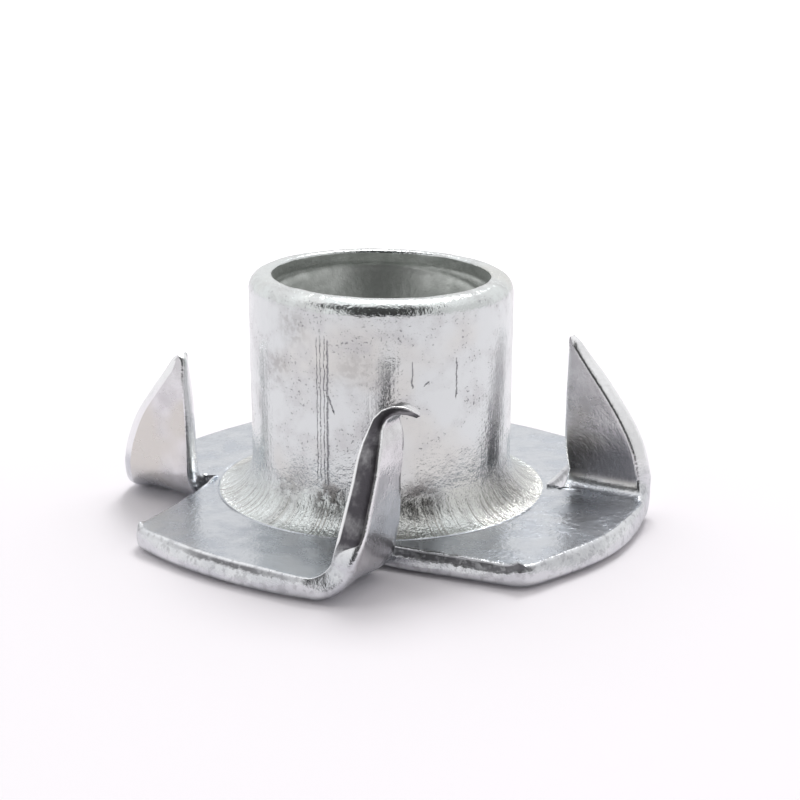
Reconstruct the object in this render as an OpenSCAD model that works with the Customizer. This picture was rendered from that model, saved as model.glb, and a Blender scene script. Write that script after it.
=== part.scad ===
// Four-prong tee nut, drawn and stamped from one piece of sheet steel.
// The barrel stands on +Z, and the origin is on its axis at the underside of the flange.
// Four slits free the corners of the blank, which are folded up beside the barrel as prongs.

/* [Barrel] */
// Diameter of the tapped hole, at the crests of its thread
tap_d = 8; // [6.4:0.1:9.6]
// Thickness of the barrel's wall round the tapped hole
barrel_wall = 1.95; // [1.5:0.05:2.4]
// Height from the underside of the flange to the mouth of the barrel
overall_h = 11.2; // [8.5:0.1:22]
// Thickness of the wall that is left round the plain relief at the mouth
mouth_wall = 1.05; // [0.7:0.05:1.4]
// Depth of the plain relief at the mouth, above the thread
mouth_depth = 0.65; // [0.4:0.05:2.5]
// Length of the tapered lead-in between that relief and the full thread
lead_l = 2.4; // [1:0.1:3]
// Radius on the outside edge of the lip
lip_outer_r = 0.65; // [0.2:0.05:0.8]
// Radius on the inside edge of the lip
lip_inner_r = 0.25; // [0.1:0.05:0.35]
// Radius of the drawn root between barrel and flange
root_r = 1.6; // [0.8:0.1:2]
// Radius of the draw at the underside, where the hole begins
draw_r = 1.2; // [0.6:0.1:1.6]

/* [Flange] */
// Thickness of the sheet
sheet_t = 1.05; // [0.8:0.05:1.5]
// Width of the blank across two of its crowned sides
blank_w = 23.9; // [19.5:0.1:30]
// Radius of each crowned side
crown_r = 16.8; // [13.5:0.1:40]
// How far the crown's highest point lies from the middle of its side, towards the fold
crown_shift = 0.6; // [0:0.1:1.2]
// Rolled-over edge that the blanking die leaves on the underside
edge_roll = 0.35; // [0.1:0.05:0.45]
// Width of the ring that the draw die scores round the root
score_w = 0.2; // [0.1:0.05:0.3]
// Depth of that ring
score_depth = 0.07; // [0.03:0.01:0.15]

/* [Slits] */
// Width of plain flange between the drawn root and the inner end of each slit
root_land = 0.5; // [0.35:0.05:1]
// Angle to which each slit is opened, in degrees
slit_open = 7.8; // [2:0.2:12]
// Gap between a slit and the inner edge of its prong
slit_gap = 0.15; // [0.1:0.05:0.45]
// Radius of the relief at the root of each slit
slit_root_r = 0.2; // [0.15:0.05:0.4]

/* [Prongs] */
// Distance from the axis to each fold line
fold_offset = 3.4; // [2.6:0.1:4.4]
// Inside radius of the fold
fold_r = 0.8; // [0.4:0.05:1.2]
// Angle through which each prong is folded, in degrees
fold_angle = 87; // [75:1:95]
// Height of a prong's tip above the flange
prong_h = 6.55; // [4:0.05:9]
// How much narrower a prong is where its fold ends than where it starts
prong_taper = 0.25; // [0:0.05:0.6]
// Width of a prong where its rounded tip begins
tip_w = 0.8; // [0.6:0.05:1.4]
// Radius of a prong's curved outer edge
prong_edge_r = 9.5; // [7.5:0.1:20]
// Radius of the blunted tip
tip_r = 0.35; // [0.2:0.05:0.5]

/* [Hidden] */
$fn = 96;
prongs = 4;
first_side = 240;   // direction of the first crowned side, anticlockwise from +X
zinc = "#c3c9cf";
roll_steps = 3;     // flats that make up a rolled-over edge
fold_steps = 6;     // steps of a prong's outer edge round its fold
fold_draw = 0.02;   // how far the stretched edge of the sheet draws in round a fold
lip_outer_share = 0.65;     // most of the wall at the mouth that each rounding may take
lip_inner_share = 0.3;
spare = 0.5;        // how far a cutting shape runs past what it cuts
reach = 40;         // larger than the whole nut

tap_r = tap_d / 2;
barrel_r = tap_r + barrel_wall;
mouth_r = barrel_r - mouth_wall;
relief_z = overall_h - mouth_depth;
lead_z = relief_z - lead_l;     // where the full thread gives way to its lead-in
lip_outer = min(lip_outer_r, lip_outer_share * mouth_wall);
lip_inner = min(lip_inner_r, lip_inner_share * mouth_wall);
crown_x = blank_w / 2 - crown_r;    // centre of a crowned side, along its own direction
score_r = barrel_r + root_r + score_w / 4;
slit_offset = sqrt(pow(barrel_r + root_r + root_land, 2) - pow(fold_offset, 2));
fold_outer_r = fold_r + sheet_t;
leg_l = (prong_h - fold_r * (1 - cos(fold_angle))) / sin(fold_angle);  // flat part of a prong

// The rolled-over edge, as [inset from the outline, height above the underside]
roll = [for (i = [0:roll_steps]) let (a = 90 * i / roll_steps)
    edge_roll * [1 - sin(a), 1 - cos(a)]];
roll_slope = roll[0] - roll[1];     // its lowest flat, run on past the underside
roll_past = roll[0] + roll_slope * spare / -roll_slope[1];

// A prong lies flat in [distance along it from the fold, distance from the slit].
// Its outer edge is an arc through its width at the fold and its width at the tip.
tip_s = leg_l - tip_r;
tip_centre = [tip_s, slit_gap + tip_r];
prong_w = start_v(0) - prong_taper;
edge_chord = [tip_s, tip_w - prong_w];
edge_across = [edge_chord[1], -edge_chord[0]] / norm(edge_chord);
edge_centre = [0, prong_w] + edge_chord / 2
    + edge_across * sqrt(pow(prong_edge_r, 2) - pow(norm(edge_chord) / 2, 2));

// Distance from the slit to the outline, or to a line inset within it, where the fold
// starts and where it ends, and between the two at the fraction f of the fold
function start_v(inset) =
    crown_x + sqrt(pow(crown_r - inset, 2) - pow(fold_offset - crown_shift, 2)) - slit_offset;
function end_v(inset) =
    edge_centre[1] + sqrt(pow(prong_edge_r - inset, 2) - pow(edge_centre[0], 2));
function fold_v(inset, f) =
    (1 - f) * start_v(inset + fold_draw) + f * end_v(inset + fold_draw);

// Section of the sheet from its middle to an outer edge, rolled over at the underside
module sheet_section(width) {
    polygon(concat(
        [[0, sheet_t], [0, 0]],
        [for (r = roll) [width - r[0], r[1]]],
        [[width, sheet_t]]));
}

// One side of the flange: crowned outside, trimmed by the slit beside it, ended at its fold
module flange_side() {
    intersection() {
        translate([crown_x, crown_shift, 0])
            rotate_extrude()
            sheet_section(crown_r);
        translate([fold_offset, -slit_offset, 0])
            rotate([0, 0, slit_open])
            translate([-reach / 2, reach / 2, 0])
            rotate([90, 0, 90])
            linear_extrude(reach)
            mirror([1, 0])
            sheet_section(reach / 2);
        translate([0, -reach / 2, 0])
            cube([reach, reach / 2 + fold_offset, sheet_t]);
    }
}

// Everything inside the outline of a prong, carried round its fold
module fold_outline() {
    inside = fold_r / 2;
    section = function (f) concat(
        [[inside, -spare], [inside, fold_v(0, f)]],
        [for (i = [roll_steps:-1:0]) [fold_outer_r - roll[i][1], fold_v(roll[i][0], f)]],
        [[fold_outer_r - roll_past[1], fold_v(roll_past[0], f)],
         [fold_outer_r - roll_past[1], -spare]]);
    n = len(section(0));
    last = fold_steps + 2;
    points = [for (i = [0:last])
        let (turn = (i - 1) / fold_steps, a = fold_angle * turn)
        for (p = section(max(0, min(1, turn)))) [p[0] * cos(a), p[0] * sin(a), p[1]]];
    sides = [for (i = [0:last - 1], j = [0:n - 1])
        let (a = i * n + j, b = i * n + (j + 1) % n)
        each [[a, b + n, b], [a, a + n, b + n]]];
    ends = [[for (j = [0:n - 1]) j], [for (j = [n - 1:-1:0]) last * n + j]];
    polyhedron(points, concat(sides, ends));
}

// The flat of a prong beyond its fold, with its outer face rolled over along the curved edge
module prong_flat() {
    out = tip_centre - edge_centre;
    intersection() {
        translate([edge_centre[0], edge_centre[1], sheet_t])
            mirror([0, 0, 1])
            rotate_extrude()
            sheet_section(prong_edge_r);
        linear_extrude(sheet_t)
            intersection() {
                union() {
                    translate(tip_centre) circle(tip_r);
                    polygon([tip_centre, tip_centre + out, [tip_s - reach, reach],
                        [tip_s - reach, -reach], [tip_s, -reach]]);
                }
                translate([0, slit_gap]) square(reach);
            }
    }
}

// A fold and the prong that stands on it, placed at the end of a flange side
module prong() {
    translate([slit_offset, fold_offset, fold_outer_r])
    rotate([0, 90, 0]) {
        intersection() {
            rotate_extrude(angle = fold_angle)
                translate([fold_r, slit_gap])
                square([sheet_t, reach / 4]);
            fold_outline();
        }
        rotate([0, 0, fold_angle])
            translate([fold_r, 0, 0])
            rotate([90, 0, 90])
            prong_flat();
    }
}

// Quarter-round cut from a square corner, whose point is at the origin
module corner_cut(r) {
    difference() {
        translate([-r, -r]) square(r + spare);
        translate([-r, -r]) circle(r);
    }
}

// The barrel as a solid plug, with its rounded lip and its drawn root
module barrel_plug() {
    rotate_extrude()
        difference() {
            union() {
                square([barrel_r, overall_h]);
                square([barrel_r + root_r, sheet_t + root_r]);
            }
            translate([barrel_r + root_r, sheet_t + root_r]) circle(root_r);
            translate([barrel_r, overall_h]) corner_cut(lip_outer);
        }
}

// What the punch and the tap take out: draw, tapped hole, lead-in and relief at the mouth
module hole() {
    rotate_extrude() {
        translate([0, -spare]) square([tap_r, overall_h]);
        difference() {
            translate([0, -spare]) square([tap_r + draw_r, draw_r + spare]);
            translate([tap_r + draw_r, draw_r]) circle(draw_r);
        }
        polygon([[0, lead_z], [tap_r, lead_z], [mouth_r, relief_z],
            [mouth_r, overall_h + spare], [0, overall_h + spare]]);
        translate([mouth_r, overall_h]) mirror([1, 0]) corner_cut(lip_inner);
    }
}

// The scored ring, a shallow vee where the root meets the flange
module score() {
    rotate_extrude()
        translate([score_r, sheet_t])
        polygon([[0, -score_depth], [score_w, score_depth], [-score_w, score_depth]]);
}

module slit_root() {
    translate([slit_offset + slit_gap / 2, fold_offset, -spare])
        cylinder(h = sheet_t + 2 * spare, r = slit_root_r);
}

module each_side() {
    for (k = [0:prongs - 1])
        rotate([0, 0, first_side + k * 360 / prongs]) children();
}

module tee_nut() {
    color(zinc)
    difference() {
        union() {
            each_side() {
                flange_side();
                prong();
            }
            barrel_plug();
        }
        hole();
        score();
        each_side() slit_root();
    }
}

tee_nut();
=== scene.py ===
# %% [markdown]
# # A pronged tee nut
# A tee nut is stamped from one piece of sheet steel. A punch draws the barrel up out of the
# sheet, slits free the corners of the blank, and each corner is folded up into a prong that
# bites into wood. The finished nut is zinc-plated.
# The CAD model is loaded first. It fixes where everything is.

# %% Load the frame
import math
import bmesh
import bpy
from mathutils import Matrix, Vector, noise


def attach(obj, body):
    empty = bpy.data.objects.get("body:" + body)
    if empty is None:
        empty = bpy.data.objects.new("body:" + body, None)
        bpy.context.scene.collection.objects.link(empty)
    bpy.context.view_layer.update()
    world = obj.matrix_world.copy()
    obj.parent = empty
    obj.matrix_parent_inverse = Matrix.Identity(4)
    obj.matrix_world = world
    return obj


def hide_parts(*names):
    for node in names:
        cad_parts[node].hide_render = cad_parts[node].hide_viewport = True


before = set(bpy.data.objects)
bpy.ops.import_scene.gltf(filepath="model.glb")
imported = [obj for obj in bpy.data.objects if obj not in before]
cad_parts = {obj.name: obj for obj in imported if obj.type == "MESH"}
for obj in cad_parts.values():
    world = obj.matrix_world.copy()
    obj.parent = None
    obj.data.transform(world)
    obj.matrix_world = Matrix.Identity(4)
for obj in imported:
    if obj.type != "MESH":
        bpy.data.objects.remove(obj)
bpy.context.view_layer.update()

# %% [markdown]
# ## Sizes
# These are the sizes of the real nut, in millimetres. The blank is a square with crowned sides.
# Each side is drawn in its own frame: `n` points out along the side's own direction, and `d`
# runs along the side towards its fold.

# %% Sizes in millimetres
MM = 0.001
SHEET, TALL = 1.05, 11.2
TAP_R, BARREL_R, MOUTH_R = 4.0, 5.95, 4.9
RELIEF_DEPTH, LEAD_IN, LIP_OUTER, LIP_INNER = 0.65, 2.4, 0.65, 0.12
ROOT_R, DRAW_R, SCORE_DEPTH = 1.6, 1.2, 0.07
PITCH, THREAD_DEPTH = 1.5875, 0.76
HALF_BLANK, CROWN_R, CROWN_SHIFT = 11.95, 16.8, 0.6
FOLD_AT, FOLD_R, SLIT_OPEN, SLIT_GAP, TIP_R = 3.4, 0.8, math.radians(7.8), 0.15, 0.35
CORNER_ROUND = 0.75             # how much of each corner is rounded away, along both its edges
ROOT_LAND, SCORE_OUT = 0.5, 0.2     # plain flange before each slit, and room for the scored ring
FIRST_SIDE = math.radians(240)
RING_R = BARREL_R + ROOT_R + SCORE_OUT
SLIT_AT = math.sqrt((BARREL_R + ROOT_R + ROOT_LAND) ** 2 - FOLD_AT ** 2)
crown_n = HALF_BLANK - CROWN_R


def crown_at(d, inset=0.0):
    """How far out the crowned edge lies at d."""
    return crown_n + math.sqrt((CROWN_R - inset) ** 2 - (d - CROWN_SHIFT) ** 2)


print("the fold is", round(crown_at(FOLD_AT) - SLIT_AT, 2), "mm long")

# %% [markdown]
# ## The outline of one side
# Going round the nut, each side has a sheared slit edge, a rounded corner, the crowned rim, the
# fold and the small round end of the next slit. The outline is one numbered list of places, the
# same for every height in the edge, so that rings of points can be stacked and never cross.

# %% Points along one side
SLIT_N, CORNER_N, RIM_N, FOLD_N, NOTCH_N = 20, 7, 30, 12, 6
SIDE_N = SLIT_N + CORNER_N + RIM_N + FOLD_N + NOTCH_N
AROUND = 4 * SIDE_N
FOLD_FIRST = SLIT_N + CORNER_N + RIM_N - 1
FOLD_LAST = FOLD_FIRST + FOLD_N
slit_dir = Vector((math.cos(SLIT_OPEN), math.sin(SLIT_OPEN)))
slit_in = Vector((-slit_dir.y, slit_dir.x))


def outline(inset, at_fold=0.0):
    """The places (n, d) of one side's outline, moved in by inset."""
    start = Vector((FOLD_AT, -SLIT_AT)) + slit_in * inset
    centre, r = Vector((crown_n, CROWN_SHIFT)), CROWN_R - inset
    to_start = start - centre
    b = to_start.dot(slit_dir)
    length = -b + math.sqrt(b * b - to_start.length_squared + r * r)
    corner = start + slit_dir * length
    slit_end = start + slit_dir * (length - CORNER_ROUND)
    turn_corner = math.asin((corner.y - CROWN_SHIFT) / r) + CORNER_ROUND / r
    turn_fold = math.asin((FOLD_AT - CROWN_SHIFT) / r)
    rim_start = centre + Vector((math.cos(turn_corner), math.sin(turn_corner))) * r
    places = [start.lerp(slit_end, i / SLIT_N) for i in range(SLIT_N)]
    for i in range(CORNER_N):
        t = i / CORNER_N
        places.append(slit_end.lerp(corner, t).lerp(corner.lerp(rim_start, t), t))
    for i in range(RIM_N):
        turn = turn_corner + (turn_fold - turn_corner) * i / (RIM_N - 1)
        places.append(centre + Vector((math.cos(turn), math.sin(turn))) * r)
    fold_in = Vector((SLIT_AT + SLIT_GAP + at_fold, FOLD_AT))
    for i in range(1, FOLD_N + 1):
        places.append(places[FOLD_FIRST].lerp(fold_in, i / FOLD_N))
    for i in range(NOTCH_N):
        turn = math.pi * (i + 0.5) / NOTCH_N
        places.append(Vector((SLIT_AT + SLIT_GAP / 2 + (SLIT_GAP / 2 + 0.02) * math.cos(turn),
                              FOLD_AT - (0.08 + 0.3 * inset) * math.sin(turn))))
    return places


flat_outline = outline(0.0)
print(SIDE_N, "points to a side,", AROUND, "round the nut")

# %% [markdown]
# A place on a side becomes a point in the model by turning its frame round the barrel. The same
# list also gives each place a direction round the nut, so that the round barrel and the flange
# can share their points one for one.

# %% From a side's frame to the model


def on_side(side, n, d, z):
    """A place on one of the four sides, as a point in the model."""
    turn = FIRST_SIDE + side * math.pi / 2
    return Vector((n * math.cos(turn) - d * math.sin(turn),
                   n * math.sin(turn) + d * math.cos(turn), z))


def angles_round():
    """The direction of each of the points round the nut, rising steadily."""
    inner, outer = flat_outline[FOLD_LAST], flat_outline[0]
    a, b = math.atan2(inner.y, inner.x), math.atan2(outer.y, outer.x) + math.pi / 2
    turns = []
    for i, p in enumerate(flat_outline):
        past = i - FOLD_LAST
        turns.append(math.atan2(p.y, p.x) if past <= 0
                     else a + (b - a) * past / (NOTCH_N + 1))
    return [t + FIRST_SIDE + side * math.pi / 2 for side in range(4) for t in turns]


ANGLES = angles_round()
print("steps round from", round(min(b - a for a, b in zip(ANGLES, ANGLES[1:])), 4), "to",
      round(max(b - a for a, b in zip(ANGLES, ANGLES[1:])), 4), "radians")

# %% [markdown]
# ## The barrel, lathed ring by ring
# The barrel is round, so it could be a spun profile. Here it grows as a chain of rings instead:
# the open edge of a circle is extruded, and each new ring is put at its own radius and height.
# The chain goes up the outside, over the lip, down the hole and out under the flange. Every
# point keeps its number round the nut, so the flange can later leave the round shape.

# %% Start with a circle


def nothing_selected():
    """Operators act on all that is selected, so nothing may be left over from before."""
    if bpy.context.object and bpy.context.object.mode != "OBJECT":
        bpy.ops.object.mode_set(mode="OBJECT")
    bpy.ops.object.select_all(action="DESELECT")


nothing_selected()
bpy.ops.mesh.primitive_circle_add(vertices=AROUND, radius=RING_R, location=(0, 0, 0))
nut = bpy.context.object
nut.name = nut.data.name = "tee_nut_plated"
for name in ("place", "ring"):
    nut.data.attributes.new(name, "INT", "POINT")
bpy.ops.object.mode_set(mode="EDIT")
bm = bmesh.from_edit_mesh(nut.data)
PLACE, RING = bm.verts.layers.int["place"], bm.verts.layers.int["ring"]
for i, v in enumerate(sorted(bm.verts, key=lambda v: math.atan2(v.co.y, v.co.x) % math.tau)):
    v[PLACE] = i
    v.co = Vector((math.cos(ANGLES[i]) * RING_R, math.sin(ANGLES[i]) * RING_R, SHEET))
rings = {"count": 0}
print("circle of", len(bm.verts), "points")

# %% [markdown]
# One extrude adds one ring: the open edge stays selected, so the new points are the selected
# ones, and each is told where to go by its number. A ring of the barrel only needs a radius and
# a height, and the profile itself is made of lines and arcs.

# %% A helper that adds one ring


def next_ring(where):
    """Extrude the selected open edge, and put each new point where `where(place)` says."""
    bpy.ops.mesh.extrude_edges_indiv()
    mesh = bmesh.from_edit_mesh(nut.data)
    place, ring = mesh.verts.layers.int["place"], mesh.verts.layers.int["ring"]
    rings["count"] += 1
    for v in mesh.verts:
        if v.select:
            v.co = where(v[place])
            v[ring] = rings["count"]
    bmesh.update_edit_mesh(nut.data, loop_triangles=False, destructive=False)
    return rings["count"]


def round_ring(radius, z):
    """A level ring round the axis."""
    return lambda i: Vector((math.cos(ANGLES[i]) * radius, math.sin(ANGLES[i]) * radius, z))


print("each ring adds", AROUND, "points")

# %% Lines, arcs and the score


def scored_ring(radius, z):
    """A ring of the score. The die bit deepest at the front left and hardly at all opposite."""
    def where(i):
        deep = 0.15 + 0.85 * (0.5 + 0.5 * math.cos(ANGLES[i] + 1.92)) ** 2
        return round_ring(radius, SHEET + (z - SHEET) * deep)(i)
    return where


def arc(cx, cz, r, start, end, steps):
    """Places (radius, height) on an arc of the profile, in degrees, without its first point."""
    turns = [math.radians(start + (end - start) * (i + 1) / steps) for i in range(steps)]
    return [(cx + r * math.cos(t), cz + r * math.sin(t)) for t in turns]


def line(start, end, steps):
    """Places (radius, height) on a straight part of the profile, without its first point."""
    return [(start[0] + (end[0] - start[0]) * (i + 1) / steps,
             start[1] + (end[1] - start[1]) * (i + 1) / steps) for i in range(steps)]


print("the score is", SCORE_DEPTH, "mm deep at its deepest")

# %% [markdown]
# ## The outside of the barrel
# Where the flange ends, the draw die has scored a shallow ring. From there the sheet sweeps up
# through the drawn root into the wall, and rolls over at the lip. Few steps are enough on the
# straight wall, and many on the small curves, which catch the light.

# %% Score, root, wall and lip
score = [(RING_R - 0.1, SHEET), (RING_R - 0.17, SHEET - SCORE_DEPTH), (RING_R - 0.24, SHEET)]
root = arc(BARREL_R + ROOT_R, SHEET + ROOT_R, ROOT_R, -90, -180, 16)
lip_z = TALL - LIP_OUTER
wall = line((BARREL_R, SHEET + ROOT_R), (BARREL_R, lip_z), 30)
lip = (arc(BARREL_R - LIP_OUTER, lip_z, LIP_OUTER, 0, 90, 9)
       + line((BARREL_R - LIP_OUTER, TALL), (MOUTH_R + LIP_INNER, TALL), 1)
       + arc(MOUTH_R + LIP_INNER, TALL - LIP_INNER, LIP_INNER, 90, 180, 5))
for r, z in score:
    next_ring(scored_ring(r, z))
for r, z in root + wall + lip:
    LIP_END = next_ring(round_ring(r, z))
SCORE_END = len(score)
print("outside of the barrel:", LIP_END, "rings")

# %% [markdown]
# ## The thread
# The thread is cut into the wall of the hole. Its vee is a depth that depends only on how far
# round and how far along a point lies, so each ring of the hole is pushed out by that amount.
# A helix could be swept and cut out instead, but a cut leaves slivers, and this way the wall
# stays one clean grid. Towards the mouth the hole tapers open, and there the thread grows
# shallow and runs out.

# %% Rings of the threaded hole
RELIEF_Z = TALL - RELIEF_DEPTH
FULL_Z = RELIEF_Z - LEAD_IN
FLANK = THREAD_DEPTH * math.tan(math.radians(30)) / PITCH
ROOT_FLAT = 0.06        # half the flat at the bottom of the thread, as a share of its pitch


def thread_depth(turn, z):
    """How deep the thread is cut here, below its crests."""
    from_valley = abs((z / PITCH - turn / math.tau) % 1.0 - 0.5)
    depth = max(0.0, min(1.0, (ROOT_FLAT + FLANK - from_valley) / FLANK))
    return THREAD_DEPTH * depth * (0.6 + 0.4 * depth * (3 - 2 * depth))


def hole_ring(radius, z):
    """A ring of the hole. The thread runs out where the lead-in starts to open."""
    full = max(0.0, min(1.0, (FULL_Z + 0.35 - z) / 0.8))

    def where(i):
        turn = ANGLES[i]
        r = radius + full * max(0.0, TAP_R + thread_depth(turn, z) - radius)
        # one faint turn of the thread shows in the relief, and it starts and ends at the front
        round_it = ((turn + math.pi / 2) % math.tau) / math.tau
        drop = 0.12 + 0.62 * max(0.0, 2 - 4 * round_it) ** 1.5 + 0.3 * max(0.0, 2 * round_it - 1)
        faint = max(0.0, min(1.0, 6 * round_it - 0.5, 5 - 5 * round_it))
        r += 0.05 * faint * math.exp(-((RELIEF_Z - drop - z) / 0.14) ** 2)
        return Vector((math.cos(turn) * r, math.sin(turn) * r, z))
    return where


for r, z in (line((MOUTH_R, TALL - LIP_INNER), (MOUTH_R, RELIEF_Z), 8)
             + line((MOUTH_R, RELIEF_Z), (TAP_R, FULL_Z), 40)
             + line((TAP_R, FULL_Z), (TAP_R, DRAW_R), 70)
             + arc(TAP_R + DRAW_R, DRAW_R, DRAW_R, 180, 262, 14)):
    next_ring(hole_ring(r, z))
for r, z in [(TAP_R + DRAW_R, 0), (TAP_R + DRAW_R + 0.4, 0), (6.6, 0), (RING_R, 0)]:
    HOLE_END = next_ring(round_ring(r, z))
print("hole:", HOLE_END - LIP_END, "rings")

# %% [markdown]
# ## The flange
# The last ring lies under the flange. From here the rings spread out until they follow the
# outline. The edge is then built up ring by ring: a rolled-over bottom edge, as the blanking die
# leaves it, the sheared band, which leans in a little, and a crisp top edge. The rings on top
# come back in to the circle where everything began, and the two ends of the chain are merged.
# A bevel could round the edge, but it is a different shape at the bottom and at the top.

# %% Shape of the edge
EDGE = [(0.52, 0.0, 0.14), (0.34, 0.03, 0.1), (0.19, 0.085, 0.06), (0.08, 0.16, 0.03),
        (0.015, 0.25, 0.0), (0.0, 0.34, 0.0), (0.02, 0.46, 0.02), (0.06, 0.6, 0.05),
        (0.115, 0.73, 0.09), (0.18, 0.85, 0.14), (0.235, 0.94, 0.19), (0.285, 1.0, 0.23),
        (0.34, 1.035, 0.27), (0.42, SHEET, 0.33)]      # inset, height, inset beside the slit
edge_outlines = [outline(inset, at_fold) for inset, z, at_fold in EDGE]
print("the edge has", len(EDGE), "rings and leans in by", EDGE[-1][0], "mm")

# %% Soft noise and soft humps


def soft_noise(point, scale, seed):
    """Smooth noise that is the same at every run."""
    return noise.noise(point * scale + Vector((seed, seed * 1.7, -seed)))


def hump(x, middle, width):
    """1 at the middle, falling smoothly to nothing on both sides."""
    return math.exp(-((x - middle) / width) ** 2)


print("a hump one width off its middle is", round(hump(1, 0, 1), 2), "high")

# %% [markdown]
# ## What shearing and folding do to the edge
# The slit is torn rather than cut, so along it the top edge stands up in a ragged burr. The
# burr is highest where the tear began and where it ran out at the corner. Near the root of each
# slit, folding the prong has also pulled the underside up a little. Each of these is a smooth
# function of the place on the side, so it moves all the rings of the edge together.

# %% Burrs, and the pull of the fold
SLIT_ROOT = Vector((SLIT_AT + SLIT_GAP / 2, FOLD_AT))
TEAR_FROM = 0.3                     # the sheet is cut up to this share of its thickness, then torn
BURR = (0.5, 1.0, 0.35, 0.4)        # how strongly each side's slit is torn
FULLER = (-0.06, 0.28, 0.0, -0.05)  # how much fuller than the drawing each crowned side is


def torn(side, place, z):
    """How far the torn edge moves out and up at a place on the slit of a side."""
    along = place.x - FOLD_AT
    if place.y > -6.0 or z < TEAR_FROM * SHEET:
        return 0.0, 0.0
    p = Vector((place.x * 2.2, place.y, side * 7.0))
    rag = soft_noise(p, 1.0, 4.0) + 0.6 * soft_noise(p, 3.1, 9.0)
    up = 0.05 * rag + 0.22 * hump(along, 0.3, 0.4) + 0.3 * hump(along, 6.6, 0.28)
    amount = BURR[side] * ((z / SHEET - TEAR_FROM) / (1 - TEAR_FROM)) ** 2
    return amount * (0.04 + 0.05 * rag + 0.3 * up), amount * up


def pulled_up(place, z):
    """How far the fold has drawn the sheet up: under the fold, and round the slit's root."""
    v, before = place.x - SLIT_AT, max(0.0, FOLD_AT - place.y)
    under = 1 - z / SHEET
    lift = 0.3 * hump(v, 2.5, 1.15) * hump(before, 0.0, 1.1) * under
    reach = (place - SLIT_ROOT).length / 2.2
    if reach < 1:
        lift += (0.06 + 0.04 * under) * (1 - reach * reach) ** 2
    return lift


def next_root(place):
    """The same place, seen from the side whose prong stands beside this slit."""
    return Vector((-place.y, place.x))


print("highest burr:", round(max(torn(1, p, SHEET)[1] for p in flat_outline), 2), "mm")

# %% [markdown]
# The lean of the sheared edge is the same all along it in the list above, but the edge stands
# nearly upright at the corner and beside the fold. A soft hump at each place takes lean away.

# %% How square the edge stands
CORNER = flat_outline[SLIT_N + CORNER_N // 2]
SQUARE = 0.6        # how much of the sheared edge's lean is lost at the corner and at the fold
LEAN = EDGE[-1][0]
LEAN_FROM = 0.34    # height at which the edge begins to lean in


def squared(place, z):
    """The sheared edge leans in, but it is squarer at the corner and beside the fold."""
    lean = LEAN * max(0.0, z - LEAN_FROM) / (SHEET - LEAN_FROM)
    return SQUARE * lean * max(hump((place - CORNER).length, 0.0, 1.4), hump(place.y, FOLD_AT, 1.6))


def edge_point(side, place, z):
    """Where a place on the edge of a side really goes, with all that was done to it."""
    out, up = torn(side, place, z)
    lift = max(pulled_up(place, z), pulled_up(next_root(place), z))
    fuller = FULLER[side] * hump(place.y, -1.0, 3.4) * max(0.0, min(1.0, (place.x - 9.5) / 2))
    place = place + place.normalized() * squared(place, z)
    return on_side(side, place.x + fuller, place.y - out, z + up + lift)


print("at its corner the edge stands", round(squared(CORNER, SHEET), 2), "mm squarer")

# %% [markdown]
# ## Flange, ring by ring
# Half-way rings are a mix of the circle and the outline, close together near the edge, where the
# shape changes fast. The burr and the pull of the fold fade out over the outer quarter of the top.

# %% Helpers for the rings of the flange


def out_along(fraction, z, places):
    """A ring part of the way from the circle to the outline."""
    def where(i):
        side, j = divmod(i, SIDE_N)
        start = Vector((math.cos(ANGLES[i]) * RING_R, math.sin(ANGLES[i]) * RING_R, z))
        end = edge_point(side, places[j], z)
        if z == 0.0:
            end.z *= fraction ** 2
            return start.lerp(Vector((end.x, end.y, 0)), fraction) + Vector((0, 0, end.z))
        flat = start.lerp(Vector((end.x, end.y, SHEET)), fraction)
        return flat + Vector((0, 0, (end.z - SHEET) * max(0.0, 4 * fraction - 3)))
    return where


def edge_ring(row):
    """One ring of the edge itself."""
    def where(i):
        side, j = divmod(i, SIDE_N)
        return edge_point(side, edge_outlines[row][j], EDGE[row][1])
    return where


print("rings before the flange:", rings["count"])

# %% Under the flange, up the edge and back over the top
for f in (0.12, 0.3, 0.5, 0.7, 0.85, 0.94):
    next_ring(out_along(f, 0.0, edge_outlines[0]))
EDGE_FIRST = rings["count"] + 1
for row in range(len(EDGE)):
    EDGE_LAST = next_ring(edge_ring(row))
for f in (0.97, 0.92, 0.84, 0.74, 0.62, 0.5, 0.38, 0.26, 0.15, 0.07, 0.0):
    next_ring(out_along(f, SHEET, edge_outlines[-1]))
bpy.ops.mesh.select_all(action="SELECT")
bpy.ops.mesh.remove_doubles(threshold=1e-5)
bm = bmesh.from_edit_mesh(nut.data)
print("rings:", rings["count"], "open edges left:", sum(e.is_boundary for e in bm.edges))

# %% [markdown]
# ## The prongs
# Each prong is the free corner of the blank, folded up. The strip of faces that closes the edge
# at the fold is extruded in short steps: first round the bend, then straight up. At every step
# the points are put where the sheet really goes. The crowned outline runs on through the fold
# and becomes the curved outer edge, and the rolled edge goes with it to the tip.
# No two prongs are quite alike. Each has its own length and its own two edges, given from the
# line of the slit at a few heights, and a smooth curve is drawn through them. The tip of the
# front left one is hooked over.

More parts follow.
